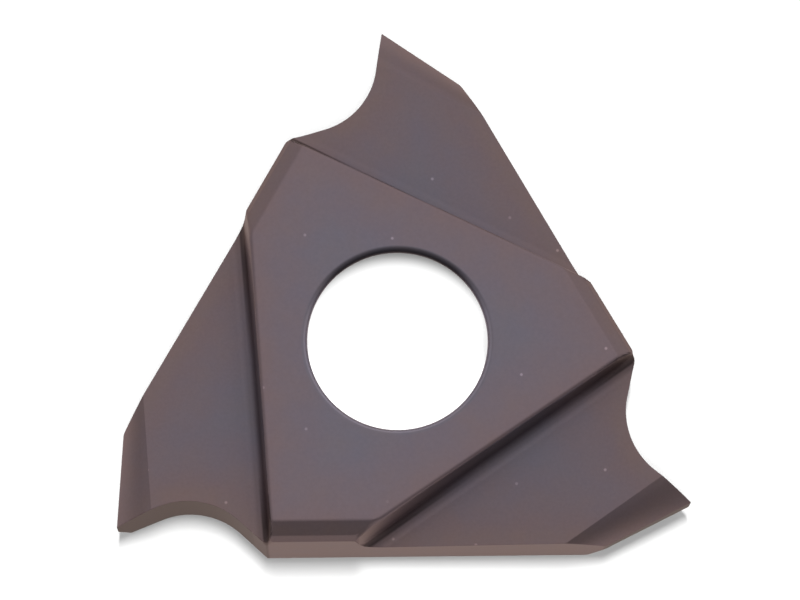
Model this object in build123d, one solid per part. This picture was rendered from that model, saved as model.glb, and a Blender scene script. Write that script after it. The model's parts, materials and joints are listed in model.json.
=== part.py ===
from build123d import *
from math import acos, cos, radians, sin, sqrt, tan
import os

# Three-cornered grooving insert, one piece of sintered carbide, sizes in mm
# It lies on its back face at z = 0 with the hole on the z axis and corner 0 pointing to +y
# A corner is drawn once, with its cutting hook on the -x side, and repeated around the hole
corner_count = 3
corner_pitch = 360 / corner_count

# Blank
inscribed_circle = 9.525
thickness = 3.18

# Outline of a corner, angles counted from +x
tip_reach = 3.2  # cutting tip beyond the inscribed circle
tip_offset = 0.27  # cutting tip beside the middle line of the corner
front_clearance = 33.75  # fall of the straight edge behind the tip
heel_radius = 0.3
hook_mouth = 5.07  # start of the hook, from the sharp corner of the plain triangle
hook_mouth_radius = 0.06
hook_root_angle = 17.0
hook_tip_angle = 81.8
hook_radius = 1.82

# Ground pocket that thins each corner, its flat wall standing beside the land
pocket_turn = 25.9  # pocket direction below +x
pocket_slope = 4.9  # fall of the pocket floor away from the hook
wall_distance = 3.34  # top of the wall from the hole axis
wall_draft = 5.0
wall_foot_radius = 0.35

# Cutting tooth between the crowned flank on the land side and the relief of the back
tooth_width = 0.68
tooth_seat = 0.9  # tooth above the back face
step_height = 0.65  # pocket floor above the tooth
flank_reach = 0.87  # start of the flank, inside the tip
flank_crown = 0.05  # rise of the flank above its chord
flank_run_out = 0.02  # lowest line of the flank, outside the cutting edge
flank_overrun = 1.3  # flank beyond both ends of the cutting edge
relief_reach = 0.27  # start of the relief at the back face, inside the cutting edge

# Bevel in two steps where the land meets the long sides
edge_width = 0.11
edge_height = 0.23
bevel_width = 0.35
bevel_height = 0.30
bevel_blend_radius = 0.25

# Screw hole, narrow at the land and flared to the back face
hole_radius = 2.15
hole_rim_radius = 0.12
throat_length = 0.35
flare_angle = 20.0  # half angle of the seat cone
back_rim_width = 0.08

# Distance by which every cut runs past the blank
overrun = 4.0

# Lines that follow from the sizes above
inradius = inscribed_circle / 2
side_angle = 180 / corner_count
half_side = inradius * tan(radians(side_angle))
tip = Vector(-tip_offset, sqrt((inradius + tip_reach) ** 2 - tip_offset**2))


def heading(angle):
    """Unit vector in the outline at an angle from +x."""
    return Vector(cos(radians(angle)), sin(radians(angle)))


def crossing(start, start_angle, other, other_angle):
    """Point where two straight lines of the outline meet."""
    along = heading(start_angle)
    across = heading(other_angle + 90)
    return start + along * ((other - start).dot(across) / along.dot(across))


def rounding(before, corner, after, radius):
    """Start, middle and end of the arc that rounds the corner between two straight lines."""
    back = (before - corner).normalized()
    ahead = (after - corner).normalized()
    half = acos(back.dot(ahead)) / 2
    middle = corner + (back + ahead).normalized() * (radius / sin(half) - radius)
    return corner + back * (radius / tan(half)), middle, corner + ahead * (radius / tan(half))


def corner_points():
    """Points of corner 0 in order: arc into the hook, hook arc, tip, heel arc."""
    left_middle = heading(90 + side_angle) * inradius
    right_middle = heading(90 - side_angle) * inradius
    mouth = left_middle + heading(side_angle) * (half_side - hook_mouth)
    hook_knee = crossing(mouth, hook_root_angle, tip, hook_tip_angle)
    heel = crossing(tip, -front_clearance, right_middle, -side_angle)
    mouth_arc = rounding(left_middle, mouth, hook_knee, hook_mouth_radius)
    hook_arc = rounding(mouth, hook_knee, tip, hook_radius)
    heel_arc = rounding(tip, heel, right_middle, heel_radius)
    return mouth_arc, hook_arc, tip, heel_arc


def outline():
    """Closed outline of the insert seen along the hole."""
    mouth_arc, hook_arc, nose, heel_arc = corner_points()
    edges = []
    for number in range(corner_count):
        place = Rot(0, 0, -number * corner_pitch)
        next_mouth = mouth_arc[0].rotate(Axis.Z, -corner_pitch)
        edges.append(place * ThreePointArc(*mouth_arc))
        edges.append(place * Line(mouth_arc[2], hook_arc[0]))
        edges.append(place * ThreePointArc(*hook_arc))
        edges.append(place * Line(hook_arc[2], nose))
        edges.append(place * Line(nose, heel_arc[0]))
        edges.append(place * ThreePointArc(*heel_arc))
        edges.append(place * Line(heel_arc[2], next_mouth))
    return make_face(edges)


def pocket_frame():
    """Tilted plane of the pocket's profile, and the heights of its floor and tooth in that plane."""
    slope = radians(pocket_slope)
    across = heading(90 - pocket_turn)
    along = heading(-pocket_turn)
    direction = along * cos(slope) - Vector(0, 0, sin(slope))
    plane = Plane(origin=(0, 0, 0), x_dir=across, z_dir=direction)
    tip_fall = tip.dot(along) * tan(slope)
    tooth = (tooth_seat + tooth_width + tip_fall) * cos(slope)
    return plane, tooth + step_height, tooth


def pocket_cut():
    """Wall and floor of the pocket of corner 0, ground in one sloping pass."""
    plane, floor, _ = pocket_frame()
    top = thickness + overrun
    reach = inradius + tip_reach + overrun
    lean = tan(radians(wall_draft))
    wall_top = Vector(wall_distance - (top - thickness) * lean, top)
    wall_foot = Vector(wall_distance + (thickness - floor) * lean, floor)
    outer = Vector(reach, floor)
    foot_arc = rounding(wall_top, wall_foot, outer, wall_foot_radius)
    profile = [
        Line(wall_top, foot_arc[0]),
        ThreePointArc(*foot_arc),
        Line(foot_arc[2], outer),
        Line(outer, Vector(reach, top)),
        Line(Vector(reach, top), wall_top),
    ]
    return extrude(plane * make_face(profile), amount=reach, both=True)


def flank_cut():
    """Flank of corner 0, ruled from the straight shoulder of the floor to the cutting edge."""
    plane, floor, tooth = pocket_frame()
    slope = radians(pocket_slope)
    top = thickness + overrun
    reach = inradius + tip_reach + overrun
    shoulder = Vector(tip.dot(plane.x_dir) - flank_reach, floor)
    right_middle = heading(90 - side_angle) * inradius
    heel = crossing(tip, -front_clearance, right_middle, -side_angle)
    sections = []
    for distance in (-flank_overrun, (heel - tip).length + flank_overrun):
        edge = tip + heading(-front_clearance) * distance
        lowest = Vector(edge.dot(plane.x_dir) + flank_run_out, tooth)
        chord = lowest - shoulder
        crown = (shoulder + lowest) / 2 + Vector(-chord.Y, chord.X).normalized() * flank_crown
        profile = [
            ThreePointArc(shoulder, crown, lowest),
            Line(lowest, Vector(reach, tooth)),
            Line(Vector(reach, tooth), Vector(reach, top)),
            Line(Vector(reach, top), Vector(shoulder.X, top)),
            Line(Vector(shoulder.X, top), shoulder),
        ]
        place = (edge.dot(heading(-pocket_turn)) - tooth * sin(slope)) / cos(slope)
        sections.append(plane.offset(place) * make_face(profile))
    return loft(sections, ruled=True)


def back_relief_cut():
    """Relief of corner 0, leaning from the tooth's lower edge inwards to the back face."""
    plane = Plane(origin=(0, 0, 0), x_dir=heading(90 - front_clearance), z_dir=heading(-front_clearance))
    edge = tip.dot(plane.x_dir)
    lean = relief_reach / tooth_seat
    reach = inradius + tip_reach + overrun
    upper = Vector(edge + tooth_width * lean, tooth_seat + tooth_width)
    lower = Vector(edge - (tooth_seat + overrun) * lean, -overrun)
    profile = Polyline(lower, Vector(reach, -overrun), Vector(reach, upper.Y), upper, lower)
    return extrude(plane * make_face(profile), amount=reach, both=True)


def bevel_cut():
    """Two-step bevel along the long side that ends at the heel of corner 0."""
    plane = Plane(origin=(0, 0, 0), x_dir=heading(90 - side_angle), z_dir=heading(-side_angle))
    top = thickness + overrun
    outside = inradius + overrun
    inland = Vector(0, thickness)
    land_end = Vector(inradius - edge_width - bevel_width, thickness)
    bevel_end = Vector(inradius - edge_width, thickness - bevel_height)
    far_low = Vector(outside, bevel_end.Y - (outside - bevel_end.X) * edge_height / edge_width)
    blend = rounding(inland, land_end, bevel_end, bevel_blend_radius)
    profile = [
        Line(Vector(blend[0].X, top), blend[0]),
        ThreePointArc(*blend),
        Line(blend[2], bevel_end),
        Line(bevel_end, far_low),
        Line(far_low, Vector(outside, top)),
        Line(Vector(outside, top), Vector(blend[0].X, top)),
    ]
    return extrude(plane * make_face(profile), amount=half_side, both=True)


def hole_cut():
    """Screw hole turned about the z axis: rounded rim, short throat, seat cone."""
    throat_top = thickness - hole_rim_radius
    throat_end = throat_top - throat_length
    back_radius = hole_radius + throat_end * tan(radians(flare_angle))
    rim_centre = Vector(hole_radius + hole_rim_radius, throat_top)
    rim_middle = rim_centre + heading(135) * hole_rim_radius
    points = [
        Vector(0, thickness + overrun),
        Vector(rim_centre.X, thickness + overrun),
        Vector(rim_centre.X, thickness),
    ]
    lower = [
        Vector(hole_radius, throat_top),
        Vector(hole_radius, throat_end),
        Vector(back_radius, 0) + Vector(-back_rim_width * tan(radians(flare_angle)), back_rim_width),
        Vector(back_radius + back_rim_width, 0),
        Vector(back_radius + back_rim_width, -overrun),
        Vector(0, -overrun),
        Vector(0, thickness + overrun),
    ]
    profile = [Line(points[0], points[1]), Line(points[1], points[2])]
    profile.append(ThreePointArc(points[2], rim_middle, lower[0]))
    profile += [Line(first, second) for first, second in zip(lower, lower[1:])]
    return revolve(Plane.XZ * make_face(profile), Axis.Z)


def insert_body():
    """The whole insert as one solid."""
    body = extrude(outline(), amount=thickness)
    for number in range(corner_count):
        place = Rot(0, 0, -number * corner_pitch)
        body -= place * pocket_cut()
        body -= place * flank_cut()
        body -= place * back_relief_cut()
        body -= place * bevel_cut()
    body -= hole_cut()
    return body


os.makedirs("parts", exist_ok=True)
export_step(insert_body(), "parts/insert_body.step")
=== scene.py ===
"""Coated carbide grooving insert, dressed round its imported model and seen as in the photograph."""

import json
import logging
from dataclasses import dataclass
from enum import Enum, IntEnum

import bpy
import numpy as np
from mathutils import Matrix, Vector


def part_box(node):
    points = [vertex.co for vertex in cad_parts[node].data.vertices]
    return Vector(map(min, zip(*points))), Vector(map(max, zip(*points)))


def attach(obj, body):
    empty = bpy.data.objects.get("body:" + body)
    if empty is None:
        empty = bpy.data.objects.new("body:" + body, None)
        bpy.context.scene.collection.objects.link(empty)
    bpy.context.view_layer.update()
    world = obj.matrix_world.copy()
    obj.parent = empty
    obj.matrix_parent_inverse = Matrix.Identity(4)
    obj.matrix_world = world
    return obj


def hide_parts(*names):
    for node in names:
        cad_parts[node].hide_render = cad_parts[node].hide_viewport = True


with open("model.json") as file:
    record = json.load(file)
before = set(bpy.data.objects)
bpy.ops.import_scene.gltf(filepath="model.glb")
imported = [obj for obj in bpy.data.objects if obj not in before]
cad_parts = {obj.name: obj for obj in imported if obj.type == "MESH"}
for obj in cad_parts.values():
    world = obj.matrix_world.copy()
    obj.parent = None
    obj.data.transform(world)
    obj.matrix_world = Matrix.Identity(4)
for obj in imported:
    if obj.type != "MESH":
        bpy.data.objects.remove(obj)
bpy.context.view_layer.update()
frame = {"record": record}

LOG = logging.getLogger("grooving_insert")
NODE = "insert_body"
WHITE = (1.0, 1.0, 1.0, 1.0)

# Lengths in metres that only serve the arithmetic
GRADIENT_STEP = 1e-8
SAME_POINT = 1e-9
HEIGHT_SLACK = 1e-6
LINE_REACH = 1e-3

# Least value of what is divided by
NOT_ZERO = 1e-12
LEAST_STEEPNESS = 0.25


class Stretch(IntEnum):
    """Stretches of the outline round one corner, clockwise from the mouth of its hook."""

    MOUTH = 0
    ROOT = 1
    HOOK = 2
    TIP = 3
    FRONT = 4
    HEEL = 5
    SIDE = 6


class Ease(Enum):
    """Ways in which a value goes from one range to another."""

    LINEAR = "LINEAR"
    SMOOTH = "SMOOTHSTEP"


class Mark(Enum):
    """Numbers that the mesh holds at each point for the finish to read."""

    EDGE_DEPTH = "edge_depth"
    # factor of painted shade and highlight on the ground faces, and of darker pocket floors
    PAINTED_LIGHT = "painted_light"


def heading(angle: float) -> np.ndarray:
    """Unit vector (cos, sin) in plan, at an angle in degrees from +X."""
    return np.array([np.cos(np.radians(angle)), np.sin(np.radians(angle))])


def turned(points: np.ndarray, angle: float) -> np.ndarray:
    """Points turned about the hole axis.

    Args:
        points: array whose last axis starts with x and y.
        angle: angle in degrees, counter-clockwise from above.

    Returns:
        A new array of the same shape.
    """
    cos, sin = heading(angle)
    result = np.array(points, float)
    result[..., 0] = cos * points[..., 0] - sin * points[..., 1]
    result[..., 1] = sin * points[..., 0] + cos * points[..., 1]
    return result


def crossing(start: np.ndarray, start_angle: float, other: np.ndarray, other_angle: float) -> np.ndarray:
    """Point where two straight lines in plan meet, each given by a point and an angle in degrees."""
    along, across = heading(start_angle), heading(other_angle + 90)
    return start + along * ((other - start) @ across) / (along @ across)


def graded(count: int, guard: float, both: bool = True) -> np.ndarray:
    """Shares from 0 up to 1, the end left out, with a close line beside the start and, if both, the end."""
    inner = np.linspace(guard, 1 - guard if both else 1, count - 1, endpoint=both)
    return np.concatenate([[0.0], inner])


def reached(target: np.ndarray | float, start: np.ndarray, pace: np.ndarray) -> np.ndarray:
    """Share of a run at which a distance that grows by pace meets its target, or 1 if it doesn't grow."""
    return np.where(pace > 0, (target - start) / np.where(pace > 0, pace, 1), 1.0)


def rounded(distances: np.ndarray, radius: np.ndarray | float) -> np.ndarray:
    """Distance to the solid inside several faces, with its edges rounded.

    Each face's distance is counted from one radius inside. Where any is positive, the root of their
    summed squares replaces the largest, which turns an edge into an arc.

    Args:
        distances: signed distances, faces by points, negative inside.
        radius: radius of the edges.

    Returns:
        One distance for each point.
    """
    lifted = np.maximum(distances + radius, 0)
    length = np.sqrt((lifted**2).sum(axis=0))
    return np.where(length > 0, length - radius, distances.max(axis=0))


@dataclass(frozen=True)
class Fillet:
    """Arc that rounds the corner between two straight lines.

    The centre lies on the bisector, radius over the sine of half the corner's angle away, and the
    arc touches each line at radius over the tangent of that half angle from the corner.
    """

    start: np.ndarray
    end: np.ndarray
    centre: np.ndarray
    radius: float

    @classmethod
    def between(cls, before: np.ndarray, corner: np.ndarray, after: np.ndarray, radius: float) -> "Fillet":
        """Fillet of a corner.

        Args:
            before: a point on the line that comes in.
            corner: the sharp corner.
            after: a point on the line that goes out.
            radius: the arc's radius.

        Returns:
            The fillet, from the incoming to the outgoing line.
        """
        back = (before - corner) / np.linalg.norm(before - corner)
        ahead = (after - corner) / np.linalg.norm(after - corner)
        half = np.arccos(back @ ahead) / 2
        bisector = (back + ahead) / np.linalg.norm(back + ahead)
        reach = radius / np.tan(half)
        centre = corner + bisector * radius / np.sin(half)
        return cls(corner + back * reach, corner + ahead * reach, centre, radius)

    def points(self, count: int) -> np.ndarray:
        """Points along the arc at equal angles, the last one left out.

        Args:
            count: number of points.

        Returns:
            Array of shape (count, 2).
        """
        first, last = self.start - self.centre, self.end - self.centre
        begin = np.arctan2(first[1], first[0])
        sweep = np.arctan2(first[0] * last[1] - first[1] * last[0], first @ last)
        angle = begin + sweep * np.arange(count) / count
        return self.centre + self.radius * np.column_stack([np.cos(angle), np.sin(angle)])


@dataclass(frozen=True)
class InsertSizes:
    """Sizes of the ground insert in metres and degrees, as in the model's source.

    The blank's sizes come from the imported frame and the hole's radius from its mount. The bevel's
    steps and the hole's rim are a few hundredths of a millimetre off the source, as worn edges are,
    and the short throat below the rim opens at once, as it looks through the hole. The edge at the
    cutting tip is rounded inside the tip's zone, and the honed edge of the land keeps at least a
    share of its radius.
    """

    inradius: float
    thickness: float
    hole_radius: float
    corner_count: int = 3
    tip_reach: float = 3.2e-3
    tip_offset: float = 0.27e-3
    front_clearance: float = 33.75
    heel_radius: float = 0.3e-3
    hook_mouth: float = 5.07e-3
    hook_mouth_radius: float = 0.06e-3
    hook_root_angle: float = 17.0
    hook_tip_angle: float = 81.8
    hook_radius: float = 1.82e-3
    pocket_turn: float = 25.9
    pocket_slope: float = 4.9
    wall_distance: float = 3.34e-3
    wall_draft: float = 5.0
    wall_foot_radius: float = 0.38e-3
    tooth_width: float = 0.68e-3
    tooth_seat: float = 0.9e-3
    step_height: float = 0.65e-3
    flank_reach: float = 0.87e-3
    flank_crown: float = 0.05e-3
    flank_run_out: float = 0.02e-3
    least_flank: float = 0.1e-3
    relief_reach: float = 0.27e-3
    heel_relief: float = 0.16e-3
    edge_width: float = 0.12e-3
    edge_height: float = 0.22e-3
    bevel_width: float = 0.33e-3
    bevel_height: float = 0.25e-3
    bevel_blend_radius: float = 0.14e-3
    hole_rim_radius: float = 0.16e-3
    throat_length: float = 0.02e-3
    throat_blend_radius: float = 0.12e-3
    flare_angle: float = 18.2
    back_rim_width: float = 0.08e-3
    back_rim_radius: float = 0.03e-3
    facet_turn: float = 29.6
    facet_lean: float = 12.6
    facet_foot: float = 2.30e-3
    tip_zone: float = 0.8e-3
    edge_softness: float = 0.005e-3
    land_honing: float = 0.10e-3
    least_honing_share: float = 0.1

    @classmethod
    def from_frame(cls) -> "InsertSizes":
        """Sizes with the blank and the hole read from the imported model.

        Returns:
            The sizes.
        """
        low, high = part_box(NODE)
        bore = next(mount for mount in frame["record"]["mounts"] if mount["kind"] == "bore")
        return cls(inradius=-low.y, thickness=high.z - low.z, hole_radius=bore["dims"]["r_mm"] / 1000)

    @property
    def pitch(self) -> float:
        """Angle from one corner to the next."""
        return 360 / self.corner_count

    @property
    def turns(self) -> list[float]:
        """Angle of each corner from corner 0."""
        return [-number * self.pitch for number in range(self.corner_count)]

    @property
    def side_angle(self) -> float:
        """Fall of the long side that ends a corner, below +X."""
        return 180 / self.corner_count

    @property
    def tip(self) -> np.ndarray:
        """Cutting tip of corner 0 in plan."""
        reach = self.inradius + self.tip_reach
        return np.array([-self.tip_offset, np.sqrt(reach**2 - self.tip_offset**2)])

    @property
    def mouth(self) -> np.ndarray:
        """Sharp start of corner 0's hook on the long side before it.

        Returns:
            The plan point.
        """
        half_side = self.inradius * np.tan(np.radians(self.side_angle))
        middle = heading(90 + self.side_angle) * self.inradius
        return middle + heading(self.side_angle) * (half_side - self.hook_mouth)

    @property
    def heel(self) -> np.ndarray:
        """Sharp end of corner 0's cutting edge on the long side after it."""
        middle = heading(90 - self.side_angle) * self.inradius
        return crossing(self.tip, -self.front_clearance, middle, -self.side_angle)

    @property
    def across(self) -> np.ndarray:
        """Plan direction out of the hole, square to the pocket of corner 0."""
        return heading(90 - self.pocket_turn)

    @property
    def along(self) -> np.ndarray:
        """Plan direction along the pocket of corner 0, in which its floor falls."""
        return heading(-self.pocket_turn)


@dataclass(frozen=True)
class MeshLines:
    """Where the mesh has its lines: counts, or shares of the stretch that they divide.

    Each stretch of the outline has a count and the share at which its closest inner line lies.
    Guards are the lines beside an outer edge, in edge radii from it. The honing lines lie inside
    the land's edge at a pocket, in honing radii. The searches and the softening are in steps, and
    the last two numbers part the outline and the points where distances to the edge are measured.
    """

    outline: tuple[tuple[int, float], ...] = (
        (8, 0.0), (16, 0.03), (34, 0.0), (64, 0.006), (44, 0.006), (6, 0.0), (72, 0.006))
    guards: tuple[float, ...] = (0.4, 1.0, 2.4)
    land_count: int = 12
    land_guard: float = 0.04
    land_last: float = 0.985
    blend: tuple[float, ...] = (0.0, 0.2, 0.4, 0.6, 0.8, 1.0)
    bevel: tuple[float, ...] = (0.3, 0.75, 0.92)
    edge: tuple[float, ...] = (0.0, 0.12, 0.35, 0.65, 0.88, 1.0)
    honing: tuple[float, ...] = (1.6, 1.15, 0.9, 0.7, 0.5, 0.3, 0.15)
    longest_honing: float = 0.1
    wall: tuple[float, ...] = (0.0, 0.012, 0.03, 0.055, 0.085, 0.12, 0.3, 0.5, 0.7, 0.85)
    foot_count: int = 11
    floor_count: int = 14
    floor_guard: float = 0.04
    flank: tuple[float, ...] = (0.012, 0.03, 0.07, 0.15, 0.27, 0.4, 0.53, 0.66, 0.79, 0.9, 0.97)
    side_count: int = 6
    side_margin: float = 0.15
    longest_side_guard: float = 0.3
    relief: tuple[float, ...] = (0.85, 0.65, 0.4, 0.2, 0.06, 0.02, 0.0)
    back_count: int = 12
    back_guard: float = 0.03
    corner_count: int = 4
    seat_count: int = 10
    seat_guard: float = 0.05
    rim_count: int = 10
    wall_search: int = 12
    relief_search: int = 4
    softening: int = 3
    outline_parts: int = 4
    depth_blocks: int = 64


@dataclass(frozen=True)
class Outline:
    """One third of the outline: from the mouth of one hook to the mouth of the next, going clockwise."""

    points: np.ndarray
    normals: np.ndarray
    starts: np.ndarray

    @classmethod
    def of(cls, sizes: InsertSizes, lines: MeshLines) -> "Outline":
        """Outline of corner 0 and of the long side after it.

        Straight stretches are sampled at shares of their length and arcs at equal angles. The
        outward normal of a straight stretch is its direction of travel, turned a quarter
        counter-clockwise, and an arc's runs along its radius: outwards, or inwards in the hook.

        Args:
            sizes: the insert's sizes.
            lines: the mesh's lines.

        Returns:
            The samples, their normals and the number of the first sample of each stretch.
        """
        side = sizes.side_angle
        left_middle, right_middle = (heading(90 + turn) * sizes.inradius for turn in (side, -side))
        knee = crossing(sizes.mouth, sizes.hook_root_angle, sizes.tip, sizes.hook_tip_angle)
        mouth = Fillet.between(left_middle, sizes.mouth, knee, sizes.hook_mouth_radius)
        hook = Fillet.between(sizes.mouth, knee, sizes.tip, sizes.hook_radius)
        heel = Fillet.between(sizes.tip, sizes.heel, right_middle, sizes.heel_radius)
        arcs = {Stretch.MOUTH: (mouth, 1), Stretch.HOOK: (hook, -1), Stretch.HEEL: (heel, 1)}
        straights = {
            Stretch.ROOT: (mouth.end, hook.start, sizes.hook_root_angle),
            Stretch.TIP: (hook.end, sizes.tip, sizes.hook_tip_angle),
            Stretch.FRONT: (sizes.tip, heel.start, -sizes.front_clearance),
            Stretch.SIDE: (heel.end, turned(mouth.start, -sizes.pitch), -side),
        }
        points, normals = [], []
        for stretch, (count, guard) in zip(Stretch, lines.outline):
            if stretch in arcs:
                arc, sign = arcs[stretch]
                points.append(arc.points(count))
                normals.append(sign * (points[-1] - arc.centre) / arc.radius)
            else:
                start, end, angle = straights[stretch]
                points.append(start + graded(count, guard)[:, None] * (end - start))
                normals.append(np.tile(heading(90 + angle), (count, 1)))
        starts = np.cumsum([0, *(count for count, _ in lines.outline)])
        return cls(np.concatenate(points), np.concatenate(normals), starts)


@dataclass(frozen=True)
class Runs:
    """Straight runs in plan from the hole to the outline, one a section."""

    start: np.ndarray
    change: np.ndarray

    @property
    def length(self) -> np.ndarray:
        """Length of each run, as a column."""
        return np.linalg.norm(self.change, axis=1)[:, None]

    def along(self, direction: np.ndarray) -> tuple[np.ndarray, np.ndarray]:
        """Distance along one direction, or each run's own: at its start, and the change, as columns."""
        return tuple((part * direction).sum(axis=1)[:, None] for part in (self.start, self.change))

    def points(self, shares: np.ndarray) -> np.ndarray:
        """Plan points at shares of shape (sections, lines) of the runs."""
        return self.start[:, None, :] + shares[..., None] * self.change[:, None, :]


@dataclass
class InsertShape:
    """Heights and distances of the ground faces of corner 0 and its neighbours.

    The pocket is a profile in the plane of v, the plan distance from the hole axis along its across
    direction, and w, the height in a frame tilted by the floor's slope: w is z times the slope's
    cosine plus u times its sine, where u is the plan distance along the pocket. The land and its
    bevel are a profile over s, the plan distance from the hole axis, square to the long side.
    """

    sizes: InsertSizes

    def __post_init__(self) -> None:
        """Works out the fixed points of the profiles."""
        sizes = self.sizes
        slope = np.radians(sizes.pocket_slope)
        self.slope_cos, self.slope_sin = np.cos(slope), np.sin(slope)
        tip_v, tip_u = sizes.tip @ sizes.across, sizes.tip @ sizes.along
        tooth = (sizes.tooth_seat + sizes.tooth_width + tip_u * np.tan(slope)) * self.slope_cos
        self.floor = tooth + sizes.step_height
        self.shoulder = tip_v - sizes.flank_reach
        self.lean = np.tan(np.radians(sizes.wall_draft))
        wall_top = np.array([sizes.wall_distance, sizes.thickness])
        foot = np.array([sizes.wall_distance + (sizes.thickness - self.floor) * self.lean, self.floor])
        floor_end = np.array([self.shoulder, self.floor])
        self.foot_arc = Fillet.between(wall_top, foot, floor_end, sizes.wall_foot_radius)
        self.front_normal = heading(90 - sizes.front_clearance)
        self.front_offset = float(self.front_normal @ sizes.tip)
        self.front_turn = np.tan(np.radians(sizes.front_clearance - sizes.pocket_turn))
        self.front_start = tip_v + sizes.flank_run_out + self.front_turn * tip_u
        self.front_length = np.linalg.norm(sizes.heel - sizes.tip)
        self.tip_normal = heading(sizes.hook_tip_angle + 90)
        self.tip_offset = float(self.tip_normal @ sizes.tip)
        self.bevel_end = sizes.inradius - sizes.edge_width
        self.land_end = self.bevel_end - sizes.bevel_width
        self.bevel_slope = np.arctan2(sizes.bevel_height, sizes.bevel_width)
        self.edge_slope = np.arctan2(sizes.edge_height, sizes.edge_width)
        reach = sizes.bevel_blend_radius * np.tan(self.bevel_slope / 2)
        self.blend_centre = np.array([self.land_end - reach, sizes.thickness - sizes.bevel_blend_radius])
        self.blend_end = self.blend_centre[0] + sizes.bevel_blend_radius * np.sin(self.bevel_slope)

    def land_height(self, s: np.ndarray) -> np.ndarray:
        """Height of the land and its bevel: flat up to the blend, then its arc, then two straight falls.

        Args:
            s: plan distance from the hole axis, square to the long side.

        Returns:
            Heights in metres.
        """
        sizes = self.sizes
        swing = np.clip(s - self.blend_centre[0], 0, self.blend_end - self.blend_centre[0])
        arc = self.blend_centre[1] + np.sqrt(sizes.bevel_blend_radius**2 - swing**2)
        bevel = sizes.thickness - np.tan(self.bevel_slope) * (s - self.land_end)
        edge = sizes.thickness - sizes.bevel_height - np.tan(self.edge_slope) * (s - self.bevel_end)
        return np.where(s < self.blend_end, arc, np.minimum(bevel, edge))

    def flank_circle(self, u: np.ndarray) -> tuple[np.ndarray, ...]:
        """Circle of the flank's crowned section.

        The chord runs from the shoulder out to the cutting edge and down by the step. The circle
        through its ends, which rises above it by the crown c, has the radius (l*l/4 + c*c) / 2c for a
        chord of length l.

        Args:
            u: plan distance along the pocket.

        Returns:
            Centre v and w, radius, and the two parts of the outward normal at the shoulder.
        """
        sizes = self.sizes
        run = np.maximum(self.front_start - self.front_turn * u - self.shoulder, sizes.least_flank)
        length = np.hypot(run, sizes.step_height)
        radius = (length**2 / 4 + sizes.flank_crown**2) / (2 * sizes.flank_crown)
        sink = radius - sizes.flank_crown
        centre_v = self.shoulder + run / 2 - sizes.step_height / length * sink
        centre_w = self.floor - sizes.step_height / 2 - run / length * sink
        start_v, start_w = (self.shoulder - centre_v) / radius, (self.floor - centre_w) / radius
        return centre_v, centre_w, radius, start_v, start_w

    def pocket_height(self, v: np.ndarray, u: np.ndarray) -> np.ndarray:
        """Height of the pocket's ground surface: leaning wall, foot arc, floor, crowned flank.

        Args:
            v: plan distance from the hole axis across the pocket.
            u: plan distance along the pocket.

        Returns:
            Heights above the back face, which rise steeply on the land side of the wall.
        """
        sizes = self.sizes
        wall = sizes.thickness - (v - sizes.wall_distance) / self.lean
        low, high = self.foot_arc.start[0], self.foot_arc.end[0]
        swing = np.clip(v, low, high) - self.foot_arc.centre[0]
        arc = self.foot_arc.centre[1] - np.sqrt(sizes.wall_foot_radius**2 - swing**2)
        centre_v, centre_w, radius, _, _ = self.flank_circle(u)
        out = np.maximum(v, self.shoulder) - centre_v
        flank = centre_w + np.sqrt(np.maximum(radius**2 - out**2, 0))
        profile = np.select([v < low, v < high, v < self.shoulder], [wall, arc, self.floor], flank)
        return (profile - u * self.slope_sin) / self.slope_cos

    def relief_reach(self, plan: np.ndarray) -> np.ndarray:
        """Width of the relief at the back face, which narrows evenly from the tip to the heel.

        Args:
            plan: plan points of corner 0.

        Returns:
            Widths in metres.
        """
        sizes = self.sizes
        share = (plan - sizes.tip) @ heading(-sizes.front_clearance) / self.front_length
        return sizes.relief_reach + np.clip(share, 0, 1) * (sizes.heel_relief - sizes.relief_reach)

    def face_distances(self, points: np.ndarray, local: np.ndarray, other: np.ndarray) -> np.ndarray:
        """Signed distances to the faces near each point, negative inside the material.

        Planes give the dot product with their normal less their offset, and round faces the
        difference between a radius and the distance to their axis. The honed edge between the land
        and the pockets turns sharp towards the end of the bevel.

        Args:
            points: array of shape (n, 3).
            local: distance to the outline's own tangent plane at the point's ray.
            other: distance to the outline's plane across the cutting tip.

        Returns:
            Array of shape (8, n): land with the pockets and their honed edge, edge of the bevel,
            back, outline, outline across the tip, flank, relief, facet of the mouth.
        """
        sizes, z = self.sizes, points[:, 2]
        far = np.full(len(z), -np.inf)
        side_reach = edge = pocket = flank = relief = facet = far
        land = z - sizes.thickness
        for turn in sizes.turns:
            s = points[:, :2] @ turned(heading(90 - sizes.side_angle), turn)
            v = points[:, :2] @ turned(sizes.across, turn)
            u = points[:, :2] @ turned(sizes.along, turn)
            w = z * self.slope_cos + u * self.slope_sin
            side_reach = np.maximum(side_reach, s)
            land = np.maximum(land, self._land_distance(s, z))
            edge = np.maximum(edge, self._edge_distance(s, z))
            pocket = np.maximum(pocket, self._pocket_distance(v, w))
            flank = np.maximum(flank, self._flank_distance(v, u, w))
            relief = np.maximum(relief, self._relief_distance(points, turn))
            facet = np.maximum(facet, self._facet_distance(points, turn))
        fade = np.clip((self.bevel_end - side_reach) / (2 * sizes.land_honing), sizes.least_honing_share, 1)
        ground = rounded(np.stack([land, pocket]), sizes.land_honing * fade)
        return np.stack([ground, edge, -z, local, other, flank, relief, facet])

    def _land_distance(self, s: np.ndarray, z: np.ndarray) -> np.ndarray:
        """Distance to the land, its blend and the bevel's upper step.

        Args:
            s: plan distance square to the long side.
            z: height above the back face.

        Returns:
            One distance for each point.
        """
        ds, dz = s - self.blend_centre[0], z - self.blend_centre[1]
        turn = np.arctan2(ds, dz)
        plane = ds * np.sin(self.bevel_slope) + dz * np.cos(self.bevel_slope)
        inside = (turn > 0) & (turn < self.bevel_slope) & (dz > 0)
        return np.where(inside, np.hypot(ds, dz), np.maximum(dz, plane)) - self.sizes.bevel_blend_radius

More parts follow.
